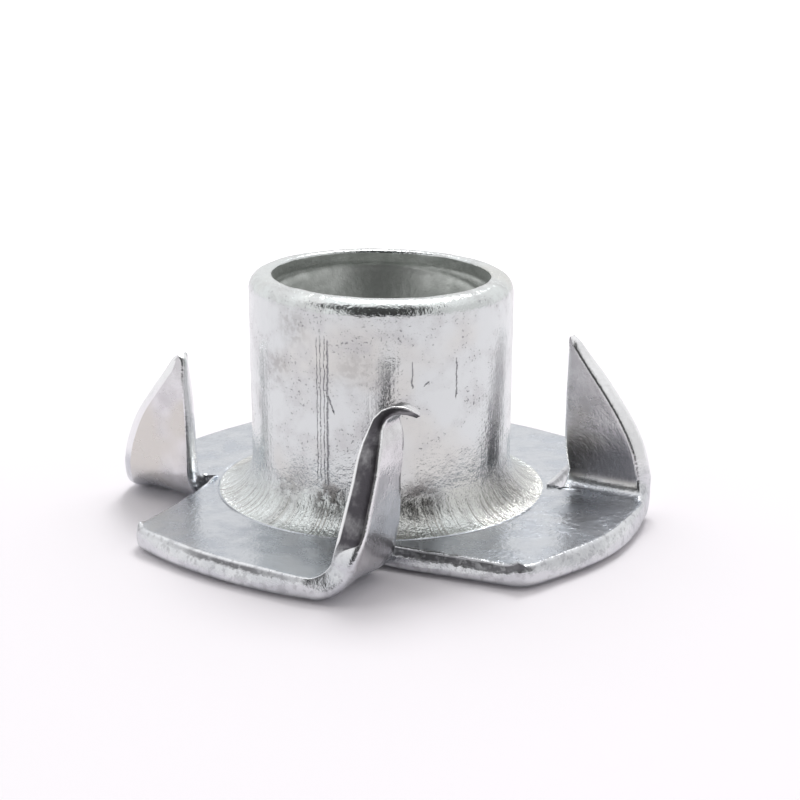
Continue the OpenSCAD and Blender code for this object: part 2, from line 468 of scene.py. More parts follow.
# %% How each prong stands
PRONGS = [
    dict(fold=87.0, length=5.85, curl_from=4.88, curl_r=0.38,       # front left, tip hooked over
         outer=[(0, 3.86), (0.9, 3.42), (1.8, 3.05), (2.9, 2.62), (3.8, 2.28), (4.4, 1.88),
                (4.9, 1.38), (5.4, 0.8), (5.85, 0.35)],
         inner=[(0, 0.32), (0.8, 0.3), (1.6, 0.33), (2.7, 0.36), (3.6, 0.14), (4.3, -0.14),
                (4.9, -0.33), (5.85, -0.3)],
         thick=[(0, 1.0), (1.0, 1.12), (2.0, 1.12), (2.9, 1.08), (3.6, 1.05), (4.4, 0.85),
                (4.9, 0.6), (5.4, 0.38), (5.85, 0.24)], square=0.35),
    dict(fold=87.5, length=6.2, curl_from=9, curl_r=1,              # front right
         outer=[(0, 4.1), (1.2, 3.77), (2.1, 3.35), (2.87, 2.87), (3.6, 2.33), (4.57, 1.57),
                (5.2, 1.05), (6.2, 0.3)],
         inner=[(0, 0.1), (0.85, -0.08), (1.8, -0.16), (3.2, -0.2), (6.2, -0.15)],
         thick=[(0, 1.0), (2, 0.96), (4.6, 0.9), (6.2, 0.5)]),
    dict(fold=86.5, length=5.8, curl_from=9, curl_r=1,              # back right
         outer=[(0, 3.95), (1.2, 3.6), (2.4, 3.0), (3.6, 2.2), (4.8, 1.25), (5.8, 0.5)],
         inner=[(0, 0.2), (1.2, 0.05), (3.0, -0.05), (5.8, -0.1)],
         thick=[(0, 1.0), (2, 0.96), (4.4, 0.9), (5.8, 0.5)]),
    dict(fold=87.0, length=5.5, curl_from=9, curl_r=1,              # back left
         outer=[(0, 3.83), (0.95, 3.61), (2.3, 3.0), (3.7, 1.97), (5.0, 0.98), (5.5, 0.7)],
         inner=[(0, -0.13), (2.5, -0.12), (3.9, -0.08), (5.5, 0.06)],
         thick=[(0, 1.0), (1.2, 0.92), (4.0, 0.86), (5.5, 0.6)]),
]
BEND_STEPS, LEG_STEPS = 10, 26


def through(pairs, x):
    """A smooth curve through the given pairs."""
    k = max(i for i in range(len(pairs) - 1) if x >= pairs[i][0] or i == 0)
    near = [pairs[max(0, min(len(pairs) - 1, j))] for j in range(k - 1, k + 3)]
    (x0, y0), (x1, y1), (x2, y2), (x3, y3) = near
    t = min(1.0, (x - x1) / (x2 - x1))
    m1 = (y2 - y0) / (x2 - x0) * (x2 - x1)
    m2 = (y3 - y1) / (x3 - x1) * (x2 - x1)
    return ((2 * t ** 3 - 3 * t ** 2 + 1) * y1 + (t ** 3 - 2 * t ** 2 + t) * m1
            + (3 * t ** 2 - 2 * t ** 3) * y2 + (t ** 3 - t ** 2) * m2)


def prong_edges(form, s):
    """The inner and outer edge at s, closing round the tip."""
    inner, outer = through(form["inner"], s), through(form["outer"], s)
    past = s - (form["length"] - TIP_R)
    if past > 0:
        t = min(1.0, past / TIP_R)
        half = (outer - inner) / 2 * math.sqrt(max(0.0, 1 - t * t))
        middle = (outer + inner) / 2
        inner, outer = middle - half, middle + half
    return inner, outer


print("prong widths at the fold:", [round(f["outer"][0][1] - f["inner"][0][1], 2) for f in PRONGS])

# %% [markdown]
# The fold is a bend about a line: a point's distance from the middle of the bend depends on how
# deep in the sheet it lies, and its angle on how far round it has come. After the bend the prong
# runs straight, and the hooked tip is a second, much tighter bend. The outer edge leaves the line
# of the rim gently, with no corner where the fold begins.

# %% A point of a prong


def prong_point(side, step, column, row):
    """Where a point of the prong goes. The column counts from the outer edge to the slit."""
    form, (inset, z, at_fold) = PRONGS[side], EDGE[row]
    fold, length = math.radians(form["fold"]), form["length"]
    bend, climb = min(1.0, step / BEND_STEPS), max(0, step - BEND_STEPS) / LEG_STEPS
    turn, s = fold * bend, length * (1 - (1 - climb) ** 1.35)
    inner, outer = prong_edges(form, s)
    eased = bend * (2 - bend)
    at_rim = crown_at(FOLD_AT) - SLIT_AT
    outer = at_rim + (outer - at_rim) * bend * bend * (3 - 2 * bend)
    inner = SLIT_GAP + (inner - SLIT_GAP) * eased
    width = outer - inner
    at_start = 1 - SQUARE if z > LEAN_FROM + 0.01 else 1.0
    inset *= at_start + (form.get("square", 1.0) - at_start) * eased
    high, low = outer - min(inset, 0.45 * width), inner + min(at_fold, 0.3 * width)
    v = high + (low - high) * column / FOLD_N
    # the sheet is drawn thinner as the prong rises
    thick = 1 + (through(form["thick"], s) - 1) * eased
    rho = FOLD_R + (SHEET - z) * thick
    if s > form["curl_from"]:
        r, begin = form["curl_r"], form["curl_from"]
        over = (s - begin) / r
        half = FOLD_R + SHEET / 2
        s = begin + r * math.sin(over) - (rho - half) * math.sin(over)
        rho = half + (rho - half) * math.cos(over) + r * (1 - math.cos(over))
    d = FOLD_AT + rho * math.sin(turn) + s * math.cos(turn)
    up = SHEET + FOLD_R - rho * math.cos(turn) + s * math.sin(turn)
    up += pulled_up(Vector((SLIT_AT + v, FOLD_AT + 2 * bend)), z) * (1 - bend)
    return on_side(side, SLIT_AT + v, d, up)


print("tip of the front prong, in mm:",
      [round(c, 2) for c in prong_point(0, BEND_STEPS + LEG_STEPS, 0, 0)])

# %% [markdown]
# The extrude itself is the same for all four prongs. A ring number tells where on the edge a
# point began, so each step adds to it, and the old number can still be read from it.

# %% Fold up the prongs
ON_PRONG = 1000     # a ring number of 1000 or more is that many thousand steps up a prong
bpy.ops.mesh.select_all(action="DESELECT")
bpy.ops.mesh.select_mode(type="FACE")
for side in range(4):
    bm = bmesh.from_edit_mesh(nut.data)
    PLACE, RING = bm.verts.layers.int["place"], bm.verts.layers.int["ring"]
    bpy.ops.mesh.select_all(action="DESELECT")
    first, last = side * SIDE_N + FOLD_FIRST, side * SIDE_N + FOLD_LAST
    for f in bm.faces:
        if all(EDGE_FIRST <= v[RING] <= EDGE_LAST and first <= v[PLACE] <= last for v in f.verts):
            f.select_set(True)
    bm.select_flush_mode()
    bmesh.update_edit_mesh(nut.data)
    for step in range(1, BEND_STEPS + LEG_STEPS + 1):
        bpy.ops.mesh.extrude_region()
        bm = bmesh.from_edit_mesh(nut.data)
        PLACE, RING = bm.verts.layers.int["place"], bm.verts.layers.int["ring"]
        for v in bm.verts:
            if v.select:
                row = v[RING] % ON_PRONG
                v.co = prong_point(side, step, v[PLACE] - first, row - EDGE_FIRST)
                v[RING] = step * ON_PRONG + row
        bmesh.update_edit_mesh(nut.data)
bpy.ops.mesh.select_all(action="SELECT")
bpy.ops.mesh.remove_doubles(threshold=1e-5)
bpy.ops.mesh.normals_make_consistent(inside=False)
bm = bmesh.from_edit_mesh(nut.data)
print("faces:", len(bm.faces), "open edges:", sum(not e.is_manifold for e in bm.edges),
      "volume mm3:", round(bm.calc_volume(signed=True), 1))

# %% [markdown]
# ## What the press left behind
# A drawn barrel is never quite round, and its mouth tilts by about a degree. These are small
# smooth moves of the points that are already there.

# %% Irregular form
LEAN_X, LEAN_Y = 0.0145, 0.012      # slope of the mouth, across and front to back
FLARE = 0.0006                      # growth of the barrel for each millimetre up
HOLE_FOOT = HOLE_END - 8            # from this ring on the hole stays true, near the underside
bm = bmesh.from_edit_mesh(nut.data)
PLACE, RING = bm.verts.layers.int["place"], bm.verts.layers.int["ring"]
for v in bm.verts:
    p, ring = v.co.copy(), v[RING]
    r = math.hypot(p.x, p.y)
    if ring < ON_PRONG and SCORE_END < ring < HOLE_FOOT and p.z > SHEET:
        up = max(0.0, p.z - SHEET - ROOT_R)
        k = 1 + FLARE * up
        wobble = 0.035 * soft_noise(Vector((p.x, p.y, p.z * 0.6)), 0.32, 3.1) * min(1.0, up / 3)
        if ring <= LIP_END:
            wobble += 0.012 * soft_noise(p, 1.1, 8.4) * min(1.0, up / 2)
        k += wobble / r
        v.co.x, v.co.y = p.x * k, p.y * k
        tilt = LEAN_X * (p.x + 2) + LEAN_Y * (BARREL_R - p.y) + 0.08
        v.co.z = p.z - tilt * min(1.0, up / 6)
        if p.z > lip_z - 0.1:
            v.co.z += 0.03 * (soft_noise(p, 0.9, 5.2) - 0.6)
        v.co.z = min(v.co.z, TALL)
    elif ring >= ON_PRONG:
        bulge = 0.035 * soft_noise(p, 0.55, 12.0) * min(1.0, max(0.0, p.z - 1.6))
        v.co += Vector((bulge, -bulge, 0))
bmesh.update_edit_mesh(nut.data)
print("top of the lip:", round(max(v.co.z for v in bm.verts), 3), "mm")

# %% [markdown]
# ## Numbers that the materials read
# Bands and stains follow the metal, so the mesh itself carries the measures for
# them: how high a point lies in the thickness of the sheet, how far along the edge it is, how far
# up a prong, and how badly the edge is torn there, which also sets how dark its band is painted.
# A picture could be painted instead, but it would be only as sharp as its pixels.

# %% Measure along the edges
bm = bmesh.from_edit_mesh(nut.data)
HIGH = bm.verts.layers.float.new("edge_height")
ALONG = bm.verts.layers.float.new("edge_along")
LEG = bm.verts.layers.float.new("up_prong")
TORN = bm.verts.layers.float.new("how_torn_and_dark")
# on each prong's outer edge this also sets how far the painted dark reflection spreads; on the
# front prong it covers the whole width
RIM_TORN = (0.5, 0.15, 0.4, 0.4)    # how badly each side's crowned rim is torn, and below, each
LEG_TORN_AND_DARK = (1.0, 0.1, 0.1, 0.15)    # prong's outer edge. A slit is as torn as its burr is high.
PLACE, RING = bm.verts.layers.int["place"], bm.verts.layers.int["ring"]
SIDE_APART = 40.0                   # more than one side's edge is long, so sides never overlap
run = [0.0]
for a, b in zip(flat_outline, flat_outline[1:]):
    run.append(run[-1] + (b - a).length)
for v in bm.verts:
    step, row = divmod(v[RING], ON_PRONG)
    side, j = divmod(v[PLACE], SIDE_N)
    v[ALONG] = side * SIDE_APART + run[j] + 0.3 * step
    v[HIGH] = EDGE[row - EDGE_FIRST][1] / SHEET if EDGE_FIRST <= row <= EDGE_LAST else 0.0
    v[LEG] = step / (BEND_STEPS + LEG_STEPS)
    past_slit = max(0.0, min(1.0, (j - SLIT_N) / CORNER_N)) if j < FOLD_LAST else 1.0
    on_rim = RIM_TORN[side] * (0.15 + 0.85 * hump((j - SLIT_N - CORNER_N) / RIM_N, 0.56, 0.36))
    v[TORN] = BURR[side] + (on_rim - BURR[side]) * past_slit
    v[TORN] += (LEG_TORN_AND_DARK[side] - v[TORN]) * max(0.0, min(1.0, (step - BEND_STEPS) / 3))
print("one side's edge is", round(run[-1], 1), "mm long")

# %% [markdown]
# Which finish a face has follows from the rings it lies between. Then the nut, drawn in
# millimetres, is scaled into metres, and only true corners are left sharp.

# %% Materials by region, then into metres
SHEET_SLOT, DRAWN_SLOT, CUT_SLOT, HOLE_SLOT = range(4)
UNDERSIDE_FROM = HOLE_END - 3       # the last rings of the hole already lie flat underneath
for f in bm.faces:
    marks = [v[RING] % ON_PRONG for v in f.verts]
    lo, hi = min(marks), max(marks)
    if EDGE_FIRST <= lo < hi <= EDGE_LAST:
        f.material_index = CUT_SLOT
    elif SCORE_END <= lo and hi <= LIP_END:
        f.material_index = DRAWN_SLOT
    elif LIP_END <= lo and hi <= UNDERSIDE_FROM:
        f.material_index = HOLE_SLOT
    else:
        f.material_index = SHEET_SLOT
bmesh.ops.scale(bm, vec=(MM, MM, MM), verts=bm.verts)
bmesh.update_edit_mesh(nut.data)
bpy.ops.object.mode_set(mode="OBJECT")
bpy.ops.object.shade_smooth_by_angle(angle=math.radians(40))
print("triangles:", sum(len(p.vertices) - 2 for p in nut.data.polygons))

# %% [markdown]
# ## The zinc plating
# All of the nut has the same bright zinc, but each kind of surface shows it differently, so there
# are four materials. What they share is made once, as node groups that give out masks and
# heights: a cloudy mottle that is everywhere, draw lines up the barrel, and a single scratch.

# %% Helpers for node trees


def link(tree, a, b):
    """Join an output to an input."""
    tree.links.new(a, b)


def node(tree, kind, **settings):
    """Add a node, with its settings."""
    made = tree.nodes.new(kind)
    for name, value in settings.items():
        setattr(made, name, value)
    return made


def maths(tree, operation, a, b=None, c=None, clamp=False):
    """A sum on numbers, or on the outputs of other nodes."""
    made = node(tree, "ShaderNodeMath", operation=operation, use_clamp=clamp)
    for socket, value in zip(made.inputs, (a, b, c)):
        if value is None:
            continue
        if isinstance(value, (int, float)):
            socket.default_value = value
        else:
            link(tree, value, socket)
    return made.outputs[0]


def ramp(tree, value, low, high, out_low=0.0, out_high=1.0):
    """A soft step: out_low up to low, out_high from high on, and a smooth rise between."""
    made = node(tree, "ShaderNodeMapRange", clamp=True, interpolation_type="SMOOTHSTEP")
    for name, v in (("From Min", low), ("From Max", high),
                    ("To Min", out_low), ("To Max", out_high)):
        made.inputs[name].default_value = v
    link(tree, value, made.inputs["Value"])
    return made.outputs["Result"]


print("node groups before the first:", len(bpy.data.node_groups))

# %% Helpers for noise and for groups


def clouds(tree, vector, scale, detail=3.0, rough=0.5):
    """Cloudy noise between 0 and 1."""
    made = node(tree, "ShaderNodeTexNoise")
    made.inputs["Scale"].default_value = scale
    made.inputs["Detail"].default_value = detail
    made.inputs["Roughness"].default_value = rough
    link(tree, vector, made.inputs["Vector"])
    return made.outputs["Fac"]


def group(name, inputs, outputs):
    """A new node group, with its named inputs and outputs."""
    tree = bpy.data.node_groups.new(name, "ShaderNodeTree")
    for label, kind, default in inputs:
        socket = tree.interface.new_socket(label, in_out="INPUT", socket_type=kind)
        if default is not None:
            socket.default_value = default
    for label, kind in outputs:
        tree.interface.new_socket(label, in_out="OUTPUT", socket_type=kind)
    return tree, node(tree, "NodeGroupInput"), node(tree, "NodeGroupOutput")


FLOAT, VECTOR = "NodeSocketFloat", "NodeSocketVector"
print("sockets used:", FLOAT, VECTOR)

# %% [markdown]
# ### Mottle
# Zinc grows in small crystals and dulls in patches. Four noises show that, each a few times finer
# than the last: patches of 4 mm, clouds of 1.5 mm, grain of 0.3 mm and a fine tooth of 0.1 mm.

# %% The mottle of the plating
mottle, g_in, g_out = group("plating mottle", [("Vector", VECTOR, None)],
                            [("Patch", FLOAT), ("Cloud", FLOAT), ("Grain", FLOAT), ("Fine", FLOAT)])
for label, scale, detail, rough in (("Patch", 230, 2, 0.5), ("Cloud", 700, 5, 0.6),
                                    ("Grain", 3200, 3, 0.6), ("Fine", 9000, 2, 0.6)):
    link(mottle, clouds(mottle, g_in.outputs["Vector"], scale, detail, rough), g_out.inputs[label])
print("group:", mottle.name)

# %% [markdown]
# ### Draw lines
# The die leaves faint lines up the barrel. Noise does this if it is squeezed round the barrel and
# stretched along it.

# %% Draw lines up the barrel
lines, g_in, g_out = group("draw lines", [("Vector", VECTOR, None)],
                           [("Fine", FLOAT), ("Broad", FLOAT), ("Turn", FLOAT), ("Height", FLOAT)])
xyz = node(lines, "ShaderNodeSeparateXYZ")
link(lines, g_in.outputs["Vector"], xyz.inputs[0])
turn = maths(lines, "ARCTAN2", xyz.outputs["Y"], xyz.outputs["X"])
for label, around, upward, detail in (("Fine", 70.0, 160.0, 4.0), ("Broad", 16.0, 60.0, 2.0)):
    # a point on a unit circle round the barrel has no seam at the back
    flat = node(lines, "ShaderNodeCombineXYZ")
    link(lines, maths(lines, "MULTIPLY", maths(lines, "COSINE", turn), around), flat.inputs["X"])
    link(lines, maths(lines, "MULTIPLY", maths(lines, "SINE", turn), around), flat.inputs["Y"])
    link(lines, maths(lines, "MULTIPLY", xyz.outputs["Z"], upward), flat.inputs["Z"])
    link(lines, clouds(lines, flat.outputs[0], 1.0, detail, 0.6), g_out.inputs[label])
link(lines, turn, g_out.inputs["Turn"])
link(lines, maths(lines, "MULTIPLY", xyz.outputs["Z"], 1000.0), g_out.inputs["Height"])
print("group:", lines.name)

# %% [markdown]
# ### Scratches
# A single scratch is a thin line at one place round the barrel, between two heights, and it may
# lean. It is made from the distance to that line, so it stays crisp at any size. A very short
# one is a pit.

# %% One scratch
scratch, g_in, g_out = group(
    "scratch", [("Turn", FLOAT, 0.0), ("Height", FLOAT, 0.0), ("At", FLOAT, 0.0),
                ("Low", FLOAT, 0.0), ("High", FLOAT, 1.0), ("Width", FLOAT, 0.01),
                ("Lean", FLOAT, 0.0)], [("Mask", FLOAT)])
o = g_in.outputs
risen = maths(scratch, "SUBTRACT", o["Height"], o["Low"])
middle = maths(scratch, "MULTIPLY_ADD", risen, o["Lean"], o["At"])
aside = maths(scratch, "ABSOLUTE", maths(scratch, "SUBTRACT", o["Turn"], middle))
across = ramp(scratch, maths(scratch, "DIVIDE", aside, o["Width"]), 1.0, 0.0)
ends = maths(scratch, "MINIMUM", risen, maths(scratch, "SUBTRACT", o["High"], o["Height"]))
fade = maths(scratch, "MULTIPLY", ends, 8.0, clamp=True)
link(scratch, maths(scratch, "MULTIPLY", across, fade), g_out.inputs["Mask"])
print("group:", scratch.name)

# %% [markdown]
# ### One zinc, four finishes
# Every finish starts the same way: a metal, the mottle on Object coordinates, and then its own
# colours and bumps. Depths of bumps are in metres, and they are hundredths of a millimetre.

# %% A material of bright zinc


def zinc(name):
    """A new material, with its shader, its Object coordinates and the mottle group."""
    mat = bpy.data.materials.new(name)
    mat.use_nodes = True
    tree = mat.node_tree
    shader = next(n for n in tree.nodes if n.type == "BSDF_PRINCIPLED")
    shader.inputs["Metallic"].default_value = 1.0
    coords = node(tree, "ShaderNodeTexCoord")
    plating = node(tree, "ShaderNodeGroup", node_tree=mottle)
    link(tree, coords.outputs["Object"], plating.inputs["Vector"])
    return mat, tree, shader, coords.outputs["Object"], plating.outputs


def measured(tree, name):
    """A number that was written at every point of the mesh."""
    return node(tree, "ShaderNodeAttribute", attribute_name=name).outputs["Fac"]


print("every zinc finish holds the group:", mottle.name)

# %% Mixing colours, and bumps


def colour_between(tree, factor, a, b):
    """Colour a where the factor is 0, colour b where it is 1."""
    made = node(tree, "ShaderNodeMix", data_type="RGBA")
    link(tree, factor, made.inputs[0])
    for socket, value in ((made.inputs[6], a), (made.inputs[7], b)):
        if isinstance(value, tuple):
            socket.default_value = (*value, 1.0)
        else:
            link(tree, value, socket)
    return made.outputs[2]


def bump(tree, height, distance, normal=None):
    """Relief of a given depth, on top of another where one is given."""
    made = node(tree, "ShaderNodeBump")
    made.inputs["Strength"].default_value = 1.0
    made.inputs["Distance"].default_value = distance
    link(tree, height, made.inputs["Height"])
    if normal is not None:
        link(tree, normal, made.inputs["Normal"])
    return made.outputs["Normal"]


print("made:", colour_between.__name__, "and", bump.__name__)

# %% [markdown]
# ### Flange and prongs
# The flat sheet is bluish and a little dull, and frosted in patches, which are a stronger grain
# in the bumps. The prongs are painted brighter than the flange, a painted sheen for the light on
# their upright faces, and all but the front left one are yellowed in patches.
# The inner face of each prong is painted dark just above its fold, as a painted dark reflection,
# with an uneven upper border.

# %% Colour of the sheet
FLANGE_PALE, FLANGE_DULL = (0.58, 0.60, 0.635), (0.45, 0.475, 0.52)
# the prongs' zinc is painted brighter than the flange's, as a painted sheen
PRONG_SHEEN_PALE, PRONG_SHEEN_DULL = (0.76, 0.755, 0.77), (0.62, 0.61, 0.625)
# the yellow is a tint of the zinc; the dark colour is a painted dark reflection above each fold
YELLOWED, FOLD_PAINTED_DARK = (0.655, 0.635, 0.605), (0.25, 0.25, 0.275)
sheet_mat, tree, shader, vector, plating = zinc("zinc_sheet")
up_prong, inside = measured(tree, "up_prong"), measured(tree, "edge_height")
worn = ramp(tree, plating["Cloud"], 0.35, 0.66)
on_flange = colour_between(tree, worn, FLANGE_PALE, FLANGE_DULL)
prong_sheen_and_tint = colour_between(tree, worn, PRONG_SHEEN_PALE, PRONG_SHEEN_DULL)
tinted = maths(tree, "MULTIPLY", ramp(tree, plating["Patch"], 0.48, 0.6),
               ramp(tree, measured(tree, "edge_along"), SIDE_APART - 2.0, SIDE_APART))
prong_sheen_and_tint = colour_between(tree, tinted, prong_sheen_and_tint, YELLOWED)
base = colour_between(tree, ramp(tree, up_prong, 0.05, 0.3), on_flange, prong_sheen_and_tint)
# painted dark reflection on the inner face of each prong, just above its fold, with an uneven upper
# border
uneven = maths(tree, "MULTIPLY_ADD", maths(tree, "SUBTRACT", plating["Patch"], 0.5), 0.35, up_prong)
fold_dark_mask = maths(tree, "MULTIPLY", ramp(tree, up_prong, 0.2, 0.26), ramp(tree, uneven, 0.5, 0.36))
fold_dark_mask = maths(tree, "MULTIPLY", fold_dark_mask, ramp(tree, inside, 0.9, 1.0, 0.0, 0.85))
link(tree, colour_between(tree, fold_dark_mask, base, FOLD_PAINTED_DARK), shader.inputs["Base Color"])
print("colours of the sheet use", len(tree.nodes), "nodes")

# %% Gloss and relief of the sheet
link(tree, ramp(tree, plating["Cloud"], 0.3, 0.7, 0.2, 0.3), shader.inputs["Roughness"])
soft = bump(tree, plating["Cloud"], 0.00002)
frosted = maths(tree, "MULTIPLY", ramp(tree, plating["Patch"], 0.47, 0.58, 0.0, 2.2),
                ramp(tree, up_prong, 0.15, 0.05))
frosted = maths(tree, "MULTIPLY", plating["Grain"], maths(tree, "ADD", frosted, 1.0))
grainy = bump(tree, frosted, 0.000014, soft)
link(tree, bump(tree, plating["Fine"], 0.00001, grainy), shader.inputs["Normal"])
print(sheet_mat.name, "has", len(tree.nodes), "nodes")

# %% [markdown]
# ### Barrel
# The drawn barrel is the brightest part, and the most marked. Groups of scratches run up it, as
# grit in a die leaves them, and small pits lie in patches. Cut into the mesh they would need very
# many faces, so they are masks, which darken the zinc and push its surface in by a bump.

# %% Scratches up the barrel
drawn_mat, tree, shader, vector, plating = zinc("zinc_drawn")
drawn = node(tree, "ShaderNodeGroup", node_tree=lines)
link(tree, vector, drawn.inputs["Vector"])
SCRATCHES = [                 # place round the barrel, low, high, half width, lean
    (-2.040, 2.9, 9.35, 0.005, 0.0), (-2.012, 2.9, 9.45, 0.005, 0.0),
    (-1.981, 2.7, 9.45, 0.006, 0.0), (-1.955, 2.7, 9.3, 0.012, 0.0),
    (-0.995, 6.5, 8.4, 0.008, 0.0), (-1.342, 7.2, 8.4, 0.008, 0.0),
    (-1.905, 6.0, 6.9, 0.010, -0.0575), (-1.807, 9.1, 9.28, 0.022, 0.0),
    (-1.19, 9.0, 9.12, 0.014, 0.0), (-1.26, 7.25, 7.5, 0.010, 0.2)]
shake = maths(tree, "MULTIPLY", maths(tree, "SUBTRACT", plating["Grain"], 0.5), 0.03)
wavy = maths(tree, "ADD", drawn.outputs["Turn"], shake)
marks = None
for at, low, high, width, lean in SCRATCHES:
    made = node(tree, "ShaderNodeGroup", node_tree=scratch)
    link(tree, wavy, made.inputs["Turn"])
    link(tree, drawn.outputs["Height"], made.inputs["Height"])
    for label, value in (("At", at), ("Low", low), ("High", high), ("Width", width),
                         ("Lean", lean)):
        made.inputs[label].default_value = value
    mark = made.outputs["Mask"]
    marks = mark if marks is None else maths(tree, "MAXIMUM", marks, mark)
ragged = maths(tree, "MULTIPLY", marks, ramp(tree, plating["Fine"], 0.3, 0.55), clamp=True)
pitted = maths(tree, "MULTIPLY", ramp(tree, plating["Fine"], 0.635, 0.70),
               ramp(tree, plating["Cloud"], 0.48, 0.62))
flaws = maths(tree, "MAXIMUM", ragged, maths(tree, "MULTIPLY", pitted, 0.7))
print("scratches:", len(SCRATCHES))

# %% [markdown]
# The dark spots low on the wall, just above the root, are painted: four are a painted reflection
# of the prongs, and the broad one at the right is a painted shade. The spots higher up are faint.
# Each is a soft spot round a place on the wall, broken up by the grain so that it has no clean
# border.

# %% Dark spots, with painted reflections and shade low on the root
# the five spots at 2.4 mm and lower are painted: four a painted reflection of the prongs, and the
# last, at the right, a painted shade
BLOTCHES = [                  # place round the barrel, height and reach in millimetres, depth
    (-2.40, 7.7, 1.1, 0.5), (-1.75, 8.0, 1.3, 0.4), (-2.25, 9.6, 1.2, 0.5),
    (-2.3, 2.4, 1.2, 0.5), (-1.95, 2.3, 1.3, 0.95), (-1.6, 2.3, 1.3, 0.95),
    (-1.28, 2.3, 1.3, 0.95), (-0.4, 1.6, 2.6, 0.1)]
spots_and_painted_dark = None
for at, tall, reach, depth in BLOTCHES:
    aside = maths(tree, "MULTIPLY", maths(tree, "SUBTRACT", drawn.outputs["Turn"], at), BARREL_R)
    apart = maths(tree, "SUBTRACT", drawn.outputs["Height"], tall)
    away = maths(tree, "SQRT", maths(tree, "ADD", maths(tree, "MULTIPLY", aside, aside),
                                     maths(tree, "MULTIPLY", apart, apart)))
    spot = ramp(tree, away, reach, 0.2 * reach, 0.0, depth)
    spots_and_painted_dark = spot if spots_and_painted_dark is None else maths(tree, "MAXIMUM", spots_and_painted_dark, spot)
spots_and_painted_dark = maths(tree, "MULTIPLY", spots_and_painted_dark, ramp(tree, plating["Grain"], 0.4, 0.58, 0.25, 1.0))
print("stains:", len(BLOTCHES))

# %% [markdown]
# The colour is laid on in layers, from the broadest to the finest: a cool zinc that is warmer in
# patches and duller where it is worn, then the dark spots, which low down are painted reflections
# and painted shade, the dark lines over the root, and last the scratches and pits. Each layer
# mixes the one below with its own colour, by its own mask.

# %% Colour of the barrel
COOL, WARM, WORN = (0.705, 0.735, 0.735), (0.69, 0.695, 0.67), (0.56, 0.565, 0.57)
# the first dark colour is for the spots higher up; the second, low on the root, is a painted
# reflection and painted shade
SPOT_DARK, ROOT_PAINTED_DARK = (0.34, 0.33, 0.32), (0.14, 0.135, 0.13)
FLUTED, FLAWED = (0.36, 0.35, 0.33), (0.24, 0.24, 0.26)
worn = ramp(tree, plating["Cloud"], 0.45, 0.7)
base = colour_between(tree, ramp(tree, plating["Patch"], 0.5, 0.66), COOL, WARM)
base = colour_between(tree, maths(tree, "MULTIPLY", worn, 0.7), base, WORN)
low_down = ramp(tree, drawn.outputs["Height"], 3.4, 1.9)
base = colour_between(tree, spots_and_painted_dark, base, colour_between(tree, low_down, SPOT_DARK, ROOT_PAINTED_DARK))
# the draw lines turn dark over the root, where they fan out
flutes = maths(tree, "MULTIPLY", ramp(tree, drawn.outputs["Fine"], 0.5, 0.62, 0.0, 0.7),
               ramp(tree, drawn.outputs["Height"], 2.2, 1.5))
base = colour_between(tree, flutes, base, FLUTED)
link(tree, colour_between(tree, flaws, base, FLAWED), shader.inputs["Base Color"])
print("colours of the barrel use", len(tree.nodes), "nodes")

# %% [markdown]
# The wall is smooth and the root is rough, so all relief grows towards the root. The lip is a
# little grainier than the wall.

# %% Gloss and relief of the barrel
link(tree, ramp(tree, plating["Cloud"], 0.35, 0.7, 0.09, 0.17), shader.inputs["Roughness"])
on_lip = ramp(tree, drawn.outputs["Height"], 10.1, 10.6, 1.3, 2.5)
rough_low = maths(tree, "MULTIPLY_ADD", low_down, 3.6, on_lip)
on_wall = ramp(tree, drawn.outputs["Height"], 11.0, 10.4, 0.25, 1.0)
grainy = bump(tree, maths(tree, "MULTIPLY", plating["Grain"], rough_low), 0.000014,
              bump(tree, plating["Cloud"], 0.00004))
grainy = bump(tree, maths(tree, "MULTIPLY", plating["Fine"], rough_low), 0.000008, grainy)
broad = bump(tree, drawn.outputs["Broad"], 0.00002, grainy)
fluted = maths(tree, "MULTIPLY", maths(tree, "MULTIPLY", drawn.outputs["Fine"], on_wall),
               maths(tree, "MULTIPLY_ADD", low_down, 3.0, 1.0))
cut = maths(tree, "MULTIPLY_ADD", flaws, -5.0, fluted)
link(tree, bump(tree, cut, 0.000006, broad), shader.inputs["Normal"])
print(drawn_mat.name, "has", len(tree.nodes), "nodes")

# %% [markdown]
# ### Sheared edges
# A sheared edge has three bands. Above the rounded bottom edge the die has burnished it smooth.
# Higher up the sheet tore, which leaves a rough band, painted dark: partly torn zinc and partly a
# painted reflection of the dark room; the top edge is a bright line.
# On the front prong's outer edge the dark band is a painted reflection across the whole width, and
# its two borders are a painted highlight.
# Fine lines run across the edge in the direction of the cut.

# %% Where a sheared edge is torn, and painted dark
cut_mat, tree, shader, vector, plating = zinc("zinc_cut_edge")
high, along = measured(tree, "edge_height"), measured(tree, "edge_along")
leg, how_torn_and_dark = measured(tree, "up_prong"), measured(tree, "how_torn_and_dark")


def along_edge(per_mm, across):
    """Noise that runs with the edge, with so many features to a millimetre along it."""
    flat = node(tree, "ShaderNodeCombineXYZ")
    link(tree, maths(tree, "MULTIPLY", along, per_mm), flat.inputs["X"])
    link(tree, maths(tree, "MULTIPLY", high, across), flat.inputs["Y"])
    return clouds(tree, flat.outputs[0], 1.0, 3, 0.6)


